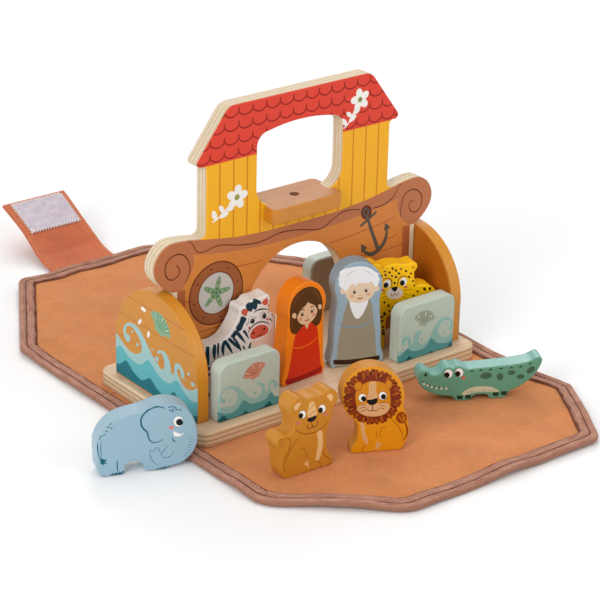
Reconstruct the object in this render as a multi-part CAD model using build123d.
from build123d import *
import math
import os

os.makedirs("parts", exist_ok=True)

# ---------------------------------------------------------------- dimensions
# All in mm. +X runs along the ark (bow to stern), +Y to the rear, +Z up.
# The origin is on the floor under the middle of the base.

MAT_T = 3.0            # padded cloth mat
BIND_T = 4.4           # edge binding, folded tape round the mat's edge
BIND_W = 12.0          # width of the binding
BASE_L = 245.0         # base board
BASE_D = 125.4
BASE_T = 12.0
BASE_R = 8.0           # plan corners
BASE_Z = MAT_T + BASE_T        # top of the base board, 15

PLY = 12.0             # the ark's standing panel
PAN_H = 202.1          # height of the panel over the base
ROOF_TOP_HW = 61.2     # half widths of the panel
EAVE_HW = 90.0
EAVE_Z = 163.3
WALL_HW = 79.3
SHOULDER_Z = 111.0
HULL_HW = 106.9
SCROLL_TOP_Z = 114.2
SCROLL_HW = 122.2
SCROLL_BOT_Z = 79.3
ARCH_R = 44.5          # hull arch, centre height equals its radius
WIN_HW = 37.3          # hand window
WIN_TOP_Z = 180.7
WIN_SILL_Z = 123.2
SEAT_HW = 26.0         # seat of the handle block, cut below the sill
SEAT_Z = 112.6

END_T = 10.2           # arched end panels
END_IN = 107.2         # their inner faces
END_HD = 48.6          # half depth
END_TOP = 77.6

BLOCK_HL = 30.4        # handle block
BLOCK_HD = 17.0
BLOCK_T = 11.2
BLOCK_R = 5.0
NOTCH = 4.4
HOLE_D = 7.0           # counterbored hole on top of the block
HOLE_DEEP = 5.0

GATE_IN = 53.0         # low blocks at the four corners
GATE_OUT = 104.6
GATE_T = 11.6
GATE_H = 43.0
GATE_FACE = 56.4       # outer face, distance from the middle plane

FIG_T = 14.0           # standing figures
EDGE = 1.0             # rounding of the figures' edges

MAT_FRONT_Y = -206.3
MAT_REAR_Y = 241.4
FOLD_Y = 63.3          # fold lines beside the base's long edges
TAB_X0, TAB_X1 = -44.0, 13.5
TAB_T = 2.6
PATCH_T = 0.9


def save(shape, name):
    shape.label = name
    export_step(shape, "parts/" + name + ".step")


# ---------------------------------------------------------------- the base
def screw_shape(x, y, tip):
    """Countersunk screw driven up from the underside of the base."""
    head = Pos(x, y, MAT_T + 1.35) * Cone(3.4, 1.75, 2.5)
    shank = Pos(x, y, (MAT_T + 2.4 + tip) / 2) * Cylinder(1.75, tip - MAT_T - 2.4)
    return head + shank


def screw_room(x, y, tip):
    """The hole that takes one of those screws, a hair larger."""
    head = Pos(x, y, MAT_T + 1.3) * Cone(3.5, 1.80, 2.6)
    shank = Pos(x, y, (MAT_T + tip + 0.2) / 2) * Cylinder(1.80, tip + 0.2 - MAT_T)
    return head + shank


SCREWS = []
for sx in (-1, 1):
    for x in (58.0, 94.0):
        SCREWS.append((sx * x, 0.0, 37.0))
    for y in (-30.0, 30.0):
        SCREWS.append((sx * (END_IN + END_T / 2), y, 37.0))
    for sy in (-1, 1):
        for x in (GATE_IN + 12, GATE_OUT - 12):
            SCREWS.append((sx * x, sy * (GATE_FACE - GATE_T / 2), 35.0))

rooms = [screw_room(*s) for s in SCREWS]

base = Pos(0, 0, MAT_T) * extrude(RectangleRounded(BASE_L, BASE_D, BASE_R), BASE_T)
base = fillet(base.edges().group_by(Axis.Z)[-1], 2.2)
base = fillet(base.edges().group_by(Axis.Z)[0], 1.2)
for r in rooms:
    base -= r
save(base, "base_board")

all_screws = Compound(children=[screw_shape(*s) for s in SCREWS])
save(all_screws, "base_screws")


# ---------------------------------------------------------------- ark panel
def panel_outline():
    """Closed outline of the standing panel in (x, z), z from the base top."""
    e = []
    for s in (1, -1):
        pts_scroll = [(HULL_HW + 1.0, SCROLL_BOT_Z), (109.8, 80.0), (114.0, 82.8),
                      (117.9, 86.8), (120.9, 91.4), (SCROLL_HW, 96.5), (121.6, 101.8),
                      (118.9, 107.2), (114.6, 111.4), (109.2, 113.8), (103.0, SCROLL_TOP_Z),
                      (96.5, 113.6), (90.0, 112.6), (84.6, SHOULDER_Z + 0.7), (80.9, SHOULDER_Z + 1.7),
                      (WALL_HW, SHOULDER_Z + 5.0)]
        pts = [(s * x, z) for x, z in pts_scroll]
        e.append(Line((s * ARCH_R, 0), (s * HULL_HW, 0)))
        e.append(Line((s * HULL_HW, 0), (s * HULL_HW, SCROLL_BOT_Z)))
        e.append(Line((s * HULL_HW, SCROLL_BOT_Z), pts[0]))
        e.append(Spline(*pts))
        # wall, soffit, eave tip and roof slope
        soff = EAVE_Z
        e.append(Line(pts[-1], (s * WALL_HW, soff - 2.0)))
        e.append(Line((s * WALL_HW, soff - 2.0), (s * (WALL_HW + 2.0), soff)))
        # eave tip: rounded with three chords' worth of arc
        dx, dz = ROOF_TOP_HW - EAVE_HW, PAN_H - EAVE_Z
        ln = math.hypot(dx, dz)
        ux, uz = dx / ln, dz / ln
        r_e = 3.0
        turn = math.acos(-ux)                    # between soffit and slope
        tl = r_e / math.tan(turn / 2) if turn else 0
        p_a = (EAVE_HW - tl, soff)
        p_b = (EAVE_HW + ux * tl, soff + uz * tl)
        cx, cz = p_a[0], p_a[1] + r_e
        mx, mz = EAVE_HW - cx, soff - cz
        ml = math.hypot(mx, mz)
        mid = (cx + mx / ml * r_e, cz + mz / ml * r_e)
        e.append(Line((s * (WALL_HW + 2.0), soff), (s * p_a[0], p_a[1])))
        e.append(ThreePointArc((s * p_a[0], p_a[1]), (s * mid[0], mid[1]), (s * p_b[0], p_b[1])))
        # roof corner
        r_r = 10.0
        turn2 = math.acos(-ux)                   # inner angle supplement at the top
        tl2 = r_r * math.tan(turn2 / 2)
        q_a = (ROOF_TOP_HW - ux * tl2, PAN_H - uz * tl2)
        q_b = (ROOF_TOP_HW - tl2, PAN_H)
        c2 = (q_b[0], PAN_H - r_r)
        m2 = (ROOF_TOP_HW - c2[0], PAN_H - c2[1])
        l2 = math.hypot(*m2)
        mid2 = (c2[0] + m2[0] / l2 * r_r, c2[1] + m2[1] / l2 * r_r)
        e.append(Line((s * p_b[0], p_b[1]), (s * q_a[0], q_a[1])))
        e.append(ThreePointArc((s * q_a[0], q_a[1]), (s * mid2[0], mid2[1]), (s * q_b[0], q_b[1])))
        if s == 1:
            e.append(Line((q_b[0], PAN_H), (-q_b[0], PAN_H)))
    e.append(Line((ARCH_R, 0), (ARCH_R, ARCH_R)))
    e.append(ThreePointArc((ARCH_R, ARCH_R), (0, 2 * ARCH_R), (-ARCH_R, ARCH_R)))
    e.append(Line((-ARCH_R, ARCH_R), (-ARCH_R, 0)))
    return e


def window_outline():
    """Hand window with its seat for the handle block, in (x, z)."""
    e = []
    rb, rt = 15.0, 10.0
    zc_t = WIN_TOP_Z - 3.0 - rt
    top_in = (WIN_HW - rt, WIN_TOP_Z - 3.0)
    x_b = WIN_HW - rb
    # where the sill's corner arc meets the seat's side
    dz = math.sqrt(rb * rb - (SEAT_HW - x_b) ** 2)
    z_meet = WIN_SILL_Z + rb - dz
    for s in (1, -1):
        e.append(Line((0, SEAT_Z), (s * SEAT_HW, SEAT_Z)))
        e.append(Line((s * SEAT_HW, SEAT_Z), (s * SEAT_HW, z_meet)))
        a0 = math.atan2(-dz, SEAT_HW - x_b)
        am = a0 / 2
        e.append(ThreePointArc((s * SEAT_HW, z_meet),
                               (s * (x_b + rb * math.cos(am)), WIN_SILL_Z + rb + rb * math.sin(am)),
                               (s * WIN_HW, WIN_SILL_Z + rb)))
        e.append(Line((s * WIN_HW, WIN_SILL_Z + rb), (s * WIN_HW, zc_t)))
        k = math.sqrt(0.5)
        e.append(ThreePointArc((s * WIN_HW, zc_t),
                               (s * (WIN_HW - rt + rt * k), zc_t + rt * k),
                               (s * top_in[0], top_in[1])))
    e.append(ThreePointArc((top_in[0], top_in[1]), (0, WIN_TOP_Z), (-top_in[0], top_in[1])))
    return e


def standing(edges, t, y_mid):
    """Face from (x, z) edges, stood up and given its thickness about y_mid."""
    face = make_face(edges)
    solid = extrude(face, t)
    # sketch x -> X, sketch y -> Z, sketch z -> -Y
    return Pos(0, y_mid + t / 2, BASE_Z) * Rot(90, 0, 0) * solid


def front_back(solid):
    """The edge loops of the two broad faces of a board standing in X-Z."""
    fs = [f for f in solid.faces() if abs(f.normal_at().Y) > 0.999]
    out = []
    for f in fs:
        out += list(f.edges())
    return out


panel = standing(panel_outline(), PLY, 0)
hole = standing(window_outline(), PLY + 4, 0)
panel = panel - hole

HEAD_Z = BASE_Z + SEAT_Z + BLOCK_T - HOLE_DEEP      # seat of the screw head
handle_screw = (Pos(0, 0, HEAD_Z + 1.1) * Cylinder(3.1, 2.2)
                + Pos(0, 0, HEAD_Z - 10.0) * Cylinder(1.75, 20.0))
cross = Pos(0, 0, HEAD_Z + 2.2) * (Box(3.8, 0.9, 1.6) + Box(0.9, 3.8, 1.6))
handle_screw = handle_screw - cross
screw_hole = Pos(0, 0, HEAD_Z - 10.0) * Cylinder(1.80, 20.4)
panel -= screw_hole

for r in rooms:
    panel -= r
save(panel, "centre_panel")
save(handle_screw, "handle_screw")

# ---------------------------------------------------------------- handle block
block = Pos(0, 0, BASE_Z + SEAT_Z) * extrude(RectangleRounded(2 * BLOCK_HL, 2 * BLOCK_HD, BLOCK_R), BLOCK_T)
block = fillet(block.edges().group_by(Axis.Z)[-1], 0.8)
block = fillet(block.edges().group_by(Axis.Z)[0], 0.8)
for s in (-1, 1):
    block -= Pos(s * (SEAT_HW - 0.15 + 10), 0, BASE_Z + SEAT_Z + BLOCK_T / 2) * Box(20, PLY + 0.3, BLOCK_T + 2)
block -= Pos(0, 0, BASE_Z + SEAT_Z + BLOCK_T) * Cylinder(HOLE_D / 2, 2 * HOLE_DEEP)
block -= screw_hole
save(block, "handle_block")


# ---------------------------------------------------------------- end panels
def end_panel(side):
    z_c = END_TOP - END_HD
    e = [Line((-END_HD, 0), (END_HD, 0)),
         Line((END_HD, 0), (END_HD, z_c)),
         ThreePointArc((END_HD, z_c), (0, END_TOP), (-END_HD, z_c)),
         Line((-END_HD, z_c), (-END_HD, 0))]
    solid = extrude(make_face(e), END_T)
    # sketch x -> Y, sketch y -> Z, sketch z -> X
    solid = Rot(0, 0, 90) * Rot(90, 0, 0) * solid
    x0 = END_IN if side > 0 else -END_IN - END_T
    solid = Pos(x0, 0, BASE_Z) * solid
    fs = [f for f in solid.faces() if abs(f.normal_at().X) > 0.999]
    eds = []
    for f in fs:
        eds += [ed for ed in f.edges() if ed.center().Z > BASE_Z + 0.5]
    solid = fillet(eds, 0.9)
    for r in rooms:
        solid -= r
    return solid


save(end_panel(-1), "end_panel_left")
save(end_panel(1), "end_panel_right")


# ---------------------------------------------------------------- gate blocks
def gate(sx, sy):
    w = GATE_OUT - GATE_IN
    sk = Pos((GATE_IN + GATE_OUT) / 2 * sx, GATE_H / 2) * Rectangle(w, GATE_H)
    vs = sk.vertices().group_by(Axis.Y)
    sk = fillet(vs[-1], 8.0)
    sk = fillet(sk.vertices().group_by(Axis.Y)[0], 1.5)
    solid = extrude(sk, GATE_T)
    y_mid = sy * (GATE_FACE - GATE_T / 2)
    solid = Pos(0, y_mid + GATE_T / 2, BASE_Z) * Rot(90, 0, 0) * solid
    solid = fillet([ed for ed in front_back(solid) if ed.center().Z > BASE_Z + 0.2], 1.6)
    for r in rooms:
        solid -= r
    return solid


save(gate(-1, -1), "gate_front_left")
save(gate(1, -1), "gate_front_right")
save(gate(-1, 1), "gate_rear_left")
save(gate(1, 1), "gate_rear_right")


# ---------------------------------------------------------------- figures
# Each figure is sawn from one board. Its outline is listed in (u, v): u runs
# to the right along its foot, v up from what it stands on. "feet" are the flat
# stretches it stands on, from left to right, "under" the outlines of the gaps
# between them, and "over" the outline from the last foot's right end over the
# top to the first foot's left end.
def figure(feet, under, over, t, at, yaw, z0, edge=EDGE):
    e = []
    for i, (a, b) in enumerate(feet):
        e.append(Line((a, 0), (b, 0)))
        if i < len(under):
            nxt = feet[i + 1][0]
            e.append(Spline(*([(b, 0)] + under[i] + [(nxt, 0)])))
    e.append(Spline(*([(feet[-1][1], 0)] + over + [(feet[0][0], 0)])))
    solid = extrude(make_face(e), t)
    solid = Rot(90, 0, 0) * solid                 # front face now at y = -t
    solid = Pos(0, t, 0) * solid                  # front face at y = 0
    if edge:
        solid = fillet(front_back(solid), edge)
    return Pos(at[0], at[1], z0) * Rot(0, 0, yaw) * solid


WOMAN = dict(
    feet=[(1.6, 0.0 + 37.2)],
    under=[],
    over=[(38.8, 2.0), (38.4, 10.0), (37.7, 24.0), (37.1, 38.0), (36.9, 45.0),
          (37.1, 47.6), (38.0, 50.6), (38.8, 54.3), (38.8, 58.5), (37.4, 63.0), (34.6, 67.3),
          (31.0, 70.7), (27.0, 73.0), (23.0, 74.3), (19.3, 74.5), (15.0, 73.6), (11.2, 71.4),
          (7.9, 67.9), (5.6, 63.4), (4.5, 58.0), (4.3, 53.4), (4.9, 50.0), (5.1, 47.4),
          (4.7, 42.0), (3.7, 32.0), (2.4, 21.0), (1.1, 10.0), (0.2, 2.0)],
    t=14.0, at=(-37.0, -38.0), yaw=2.8, z0=BASE_Z)

MAN = dict(
    feet=[(1.6, 38.0)],
    under=[],
    over=[(39.7, 2.0), (38.8, 9.4), (37.4, 24.0), (36.4, 37.0), (35.7, 46.0),
          (35.6, 48.6), (36.0, 51.6), (36.9, 55.2), (37.4, 59.2), (37.2, 63.4), (35.8, 67.8),
          (33.1, 72.0), (29.3, 75.7), (24.8, 78.4), (20.2, 79.8), (16.0, 79.9), (12.1, 79.0),
          (8.6, 77.1), (5.6, 74.4), (3.4, 71.1), (1.9, 67.0), (1.4, 62.5), (2.0, 58.0),
          (3.1, 54.2), (3.7, 51.4), (3.6, 48.8), (2.9, 41.6), (1.8, 26.3), (0.9, 11.0),
          (0.2, 2.0)],
    t=13.0, at=(9.0, -34.4), yaw=-18.0, z0=BASE_Z)

LIONESS = dict(
    feet=[(-0.8, 34.4)],
    under=[],
    over=[(37.4, 2.8), (37.0, 5.2), (35.0, 8.2), (32.9, 12.6), (31.7, 19.7),
          (31.7, 25.4), (32.9, 29.2), (34.8, 33.6), (35.8, 39.0), (36.6, 42.4), (38.4, 44.2),
          (39.9, 46.6), (40.0, 50.3), (38.5, 53.5), (36.0, 55.6), (33.1, 56.5), (30.6, 55.9),
          (28.4, 54.7), (25.8, 54.2), (20.5, 54.6), (15.4, 54.3), (12.9, 54.9), (10.8, 56.4),
          (8.2, 57.4), (5.4, 56.5), (3.0, 54.2), (1.7, 51.0), (1.9, 47.4), (3.4, 43.2),
          (4.7, 39.1), (4.9, 35.2), (3.6, 32.8), (1.0, 32.1), (-2.2, 32.6), (-5.6, 32.2),
          (-8.0, 30.4), (-8.5, 27.6), (-7.2, 24.4), (-5.7, 21.0), (-4.8, 17.0), (-4.1, 10.9),
          (-3.4, 4.2)],
    t=14.0, at=(-100.9, -126.5), yaw=-2.5, z0=MAT_T)

LION = dict(
    feet=[(1.2, 32.0)],
    under=[],
    over=[(34.3, 1.0), (35.8, 3.6), (37.6, 7.9), (38.7, 13.1), (38.5, 17.6), (37.7, 21.4),
          (37.2, 25.0), (36.0, 28.0), (34.6, 30.6), (34.3, 33.8), (34.7, 38.1), (34.3, 44.1),
          (32.6, 49.4), (29.7, 54.1), (25.9, 57.9), (21.7, 60.7), (16.9, 62.7), (12.1, 63.5),
          (7.4, 63.2), (2.8, 61.8), (-1.2, 59.3), (-4.5, 55.8), (-6.8, 51.5), (-8.1, 46.8),
          (-8.3, 42.2), (-7.4, 37.2), (-5.2, 32.2), (-2.0, 27.6), (1.2, 24.4), (3.1, 21.6),
          (3.6, 17.6), (3.5, 12.3), (2.7, 8.6), (0.9, 5.8), (-0.7, 3.2), (-0.5, 0.9)],
    t=12.6, at=(-44.0, -124.3), yaw=-26.0, z0=MAT_T)

CROCODILE = dict(
    feet=[(0.8, 8.6), (25.2, 34.2)],
    under=[[(10.4, 0.9), (11.4, 2.5), (13.4, 3.6), (17.0, 3.9), (20.6, 3.6), (22.6, 2.5),
            (23.6, 0.9)]],
    over=[(35.8, 1.1), (36.7, 3.2), (38.6, 5.1), (42.0, 6.7), (45.5, 8.4), (49.0, 10.5),
          (52.0, 12.8), (55.0, 15.8), (57.6, 19.6), (59.6, 23.6), (60.6, 27.0), (59.9, 29.5),
          (57.5, 29.9), (54.4, 28.5), (50.1, 26.9), (44.4, 26.0), (37.2, 25.3), (30.0, 25.0),
          (22.8, 24.7), (15.6, 24.4), (8.8, 24.2), (5.2, 24.6), (2.9, 26.0), (0.4, 26.7),
          (-2.0, 26.0), (-3.6, 25.4), (-5.6, 26.2), (-8.2, 26.4), (-10.3, 25.0), (-12.0, 22.8),
          (-14.2, 21.5), (-17.2, 21.2), (-19.4, 21.9), (-21.2, 23.7), (-23.1, 25.0), (-25.3, 25.1),
          (-27.1, 23.8), (-28.3, 21.2), (-28.4, 17.6), (-26.7, 14.0), (-23.2, 10.5), (-19.5, 7.9),
          (-15.8, 6.2), (-12.0, 5.1), (-7.8, 4.4), (-4.4, 3.8), (-2.4, 2.4), (-1.0, 0.7)],
    t=14.0, at=(64.7, -106.5), yaw=-27.0, z0=MAT_T)

ELEPHANT = dict(
    feet=[(1.2, 14.2), (31.8, 43.6)],
    under=[[(16.0, 2.4), (16.6, 5.6), (18.4, 8.2), (21.6, 8.8), (25.2, 8.2), (27.6, 6.2),
            (29.0, 3.6)]],
    over=[(46.6, 1.4), (53.5, 2.9), (57.0, 4.6), (60.4, 7.3),
          (63.1, 11.0), (65.0, 15.2), (65.7, 20.0), (65.5, 25.2), (64.4, 30.6), (62.4, 36.0),
          (59.9, 40.2), (56.9, 43.4), (53.2, 45.7), (48.4, 47.3), (43.4, 47.9), (38.5, 47.3),
          (33.3, 45.6), (28.0, 44.2), (21.2, 43.1), (14.7, 41.8), (9.4, 39.7), (5.2, 36.7),
          (1.8, 33.0), (-0.6, 29.0), (-2.1, 24.4), (-2.6, 19.3), (-2.3, 11.9), (-1.7, 4.0)],
    t=15.5, at=(-195.2, -50.0), yaw=-20.0, z0=0.0)

ZEBRA = dict(
    feet=[(-37.0, -26.5), (10.0, 27.0)],
    under=[[(-24.9, 0.9), (-24.2, 3.2), (-22.4, 8.6), (-17.0, 11.6), (-8.0, 12.2), (1.0, 11.6),
            (6.4, 8.6), (7.9, 3.2), (8.6, 0.9)]],
    over=[(28.2, 0.6), (28.6, 2.2), (28.6, 12.0), (28.6, 26.0), (28.7, 38.0), (28.7, 44.0),
          (28.2, 47.6), (26.4, 49.4), (24.6, 49.9), (23.4, 51.2), (22.8, 53.8), (23.1, 57.2),
          (23.7, 60.6), (23.3, 63.8), (21.8, 65.3), (19.4, 65.1), (16.4, 64.5), (12.6, 64.3),
          (8.6, 64.3), (5.8, 62.8), (3.6, 61.4), (1.4, 61.4), (-0.8, 61.0), (-2.0, 59.2),
          (-2.2, 56.6), (-3.2, 53.6), (-5.1, 50.2), (-7.6, 46.4), (-10.5, 42.8), (-13.8, 40.2),
          (-17.8, 38.7), (-21.9, 38.2), (-26.0, 38.3), (-30.1, 37.9), (-34.2, 35.6), (-37.0, 31.6),
          (-38.3, 26.0), (-38.6, 18.0), (-38.5, 8.0), (-38.3, 1.8)],
    t=13.0, at=(-60.0, -21.0), yaw=-2.0, z0=BASE_Z)

LEOPARD = dict(
    feet=[(3.6, 9.6), (41.0, 52.0)],
    under=[[(10.8, 0.8), (11.4, 4.0), (11.7, 12.0), (11.9, 20.0), (13.4, 25.6), (18.0, 27.6),
            (26.0, 26.2), (33.6, 22.2), (38.0, 15.0), (39.2, 4.0), (39.8, 0.8)]],
    over=[(53.4, 0.7), (53.8, 2.4), (54.0, 12.0), (53.8, 24.0), (52.9, 33.0), (51.0, 39.2),
          (48.0, 43.0), (44.4, 45.0), (40.6, 45.8), (36.9, 45.9), (34.5, 47.2), (33.4, 50.6),
          (33.0, 54.8), (33.2, 57.6), (34.6, 59.4), (35.2, 61.6), (34.2, 63.7), (31.8, 64.8),
          (29.2, 64.3), (26.8, 64.0), (22.0, 65.0), (16.4, 65.6), (11.0, 65.2), (7.6, 64.9),
          (5.0, 66.6), (2.0, 68.0), (-1.2, 67.4), (-3.0, 64.8), (-2.8, 61.8), (-1.9, 58.6),
          (-2.6, 54.0), (-2.8, 48.0), (-1.4, 42.0), (1.0, 37.6), (2.6, 33.0), (2.8, 24.0),
          (2.6, 12.0), (2.2, 2.6), (2.6, 0.7)],
    t=13.4, at=(50.0, -28.6), yaw=-14.0, z0=BASE_Z)

FIGURES = {"zebra": ZEBRA, "woman": WOMAN, "man": MAN, "leopard": LEOPARD,
           "elephant": ELEPHANT, "lioness": LIONESS, "lion": LION, "crocodile": CROCODILE}
for name, spec in FIGURES.items():
    save(figure(**spec), name)


# ---------------------------------------------------------------- the mat
# Corner points of the mat's outline in plan, with the rounding at each.
FRONT = [(-135.6, -FOLD_Y, 0), (-134.4, -142.1, 25.0), (-60.6, -206.0, 25.0),
         (106.6, -206.4, 12.0), (147.2, -136.8, 4.0), (139.3, -106.0, 12.0),
         (138.4, -FOLD_Y, 0)]
REAR = [(139.6, FOLD_Y, 0), (140.2, 119.0, 12.0), (78.0, 241.4, 12.0),
        (-78.4, 241.4, 11.0), (-140.6, 138.8, 14.0), (-140.4, FOLD_Y, 0)]


def inset(pts, d):
    """Move an open chain of points inwards by d, its two ends along the fold."""
    n = len(pts)
    cx = sum(p[0] for p in pts) / n
    cy = sum(p[1] for p in pts) / n
    lines = []
    for i in range(n - 1):
        (x0, y0, _), (x1, y1, _) = pts[i], pts[i + 1]
        l = math.hypot(x1 - x0, y1 - y0)
        nx, ny = -(y1 - y0) / l, (x1 - x0) / l
        if (cx - x0) * nx + (cy - y0) * ny < 0:
            nx, ny = -nx, -ny
        lines.append(((x0 + nx * d, y0 + ny * d), ((x1 - x0) / l, (y1 - y0) / l)))
    out = []
    (p, v) = lines[0]
    t = (pts[0][1] - p[1]) / v[1]
    out.append((p[0] + v[0] * t, pts[0][1], 0))
    for i in range(len(lines) - 1):
        (p, v), (q, w) = lines[i], lines[i + 1]
        den = v[0] * w[1] - v[1] * w[0]
        t = ((q[0] - p[0]) * w[1] - (q[1] - p[1]) * w[0]) / den
        r = pts[i + 1][2]
        out.append((p[0] + v[0] * t, p[1] + v[1] * t, max(r - d * 0.55, 2.5)))
    (p, v) = lines[-1]
    t = (pts[-1][1] - p[1]) / v[1]
    out.append((p[0] + v[0] * t, pts[-1][1], 0))
    return out


def plan(pts):
    """Filled plan of a chain closed along the fold, its corners rounded."""
    sk = make_face(Polyline(*[(x, y) for x, y, _ in pts], close=True))
    for x, y, r in pts:
        if r:
            v = sk.vertices().sort_by_distance((x, y, 0))[0]
            sk = fillet([v], r)
    return sk


def flap(chain, gap):
    """Cloth of a flap and its binding; gap keeps both off the fold line."""
    s = 1 if chain[0][1] > 0 else -1
    outer = plan(chain)
    inner = plan(inset(chain, BIND_W))
    cloth = extrude(inner, MAT_T)
    ring = extrude(outer, BIND_T) - extrude(inner, BIND_T)
    cloth = cloth - Pos(0, s * (FOLD_Y - 50 + 0.5), 0) * Box(400, 100, 20)
    ring = ring - Pos(0, s * (FOLD_Y - 50 + gap), 0) * Box(400, 100, 20)
    return cloth, ring


cloth_f, ring_f = flap(FRONT, 2.2)
cloth_r, ring_r = flap(REAR, 2.2)
ring_f = fillet(ring_f.edges().group_by(Axis.Z)[-1].filter_by(lambda ed: abs(abs(ed.center().Y) - (FOLD_Y + 2.2)) > 0.05), 1.3)
ring_r = fillet(ring_r.edges().group_by(Axis.Z)[-1].filter_by(lambda ed: abs(abs(ed.center().Y) - (FOLD_Y + 2.2)) > 0.05), 1.3)
save(cloth_f, "mat_front")
save(cloth_r, "mat_rear")
save(ring_f, "mat_front_binding")
save(ring_r, "mat_rear_binding")

HALF = FOLD_Y - 0.3


def strip(x_front, x_rear, s):
    """Binding along one short side of the mat's middle."""
    y0 = FOLD_Y - 1.8
    lean = (x_rear - x_front) / (2 * HALF)
    a, b = x_front + lean * (HALF - y0), x_rear - lean * (HALF - y0)
    sk = make_face(Polyline((a, -y0), (b, y0), (b - s * BIND_W, y0), (a - s * BIND_W, -y0), close=True))
    return extrude(sk, BIND_T)


left_bind = strip(-135.6, -140.4, -1)
right_bind = strip(138.4, 139.6, 1)
mid_pts = [(-135.6 + BIND_W + 0.02, -HALF), (138.4 - BIND_W - 0.02, -HALF), (139.6 - BIND_W - 0.02, HALF), (-140.4 + BIND_W + 0.02, HALF)]
mat_mid = extrude(make_face(Polyline(*mid_pts, close=True)), MAT_T)
save(mat_mid, "mat_centre")
save(left_bind, "mat_left_binding")
save(right_bind, "mat_right_binding")

# ---------------------------------------------------------------- closing tab
# Side line of the tab's underside in (y, z): flat where it is sewn on, then
# rising behind the mat.
TAB_LINE = [(242.0, 0.5), (250.0, 0.8), (258.0, 2.0), (267.0, 5.2), (277.0, 10.4),
            (288.0, 16.6), (300.0, 22.6), (311.0, 27.6), (320.5, 31.4)]


def offset_line(pts, d):
    out = []
    for i, (y, z) in enumerate(pts):
        a = pts[max(i - 1, 0)]
        b = pts[min(i + 1, len(pts) - 1)]
        l = math.hypot(b[0] - a[0], b[1] - a[1])
        ny, nz = -(b[1] - a[1]) / l, (b[0] - a[0]) / l
        out.append((y + ny * d, z + nz * d))
    return out


def ribbon(pts, d0, d1, x0, x1):
    lo = offset_line(pts, d0)
    hi = offset_line(pts, d1)
    e = [Spline(*lo), Line(lo[-1], hi[-1]), Spline(*reversed(hi)), Line(hi[0], lo[0])]
    solid = extrude(make_face(e), x1 - x0)
    # sketch x -> Y, sketch y -> Z, sketch z -> X
    return Pos(x0, 0, 0) * Rot(0, 0, 90) * Rot(90, 0, 0) * solid


tab = ribbon(TAB_LINE, 0, TAB_T, TAB_X0, TAB_X1)
patch = ribbon(TAB_LINE, TAB_T + 0.02, TAB_T + PATCH_T, TAB_X0 + 5.5, TAB_X1 - 3.5)
patch = patch & Pos(-15, 291.0 + 50, 25) * Box(200, 100, 100)
save(tab, "closing_tab")
save(patch, "hook_patch")
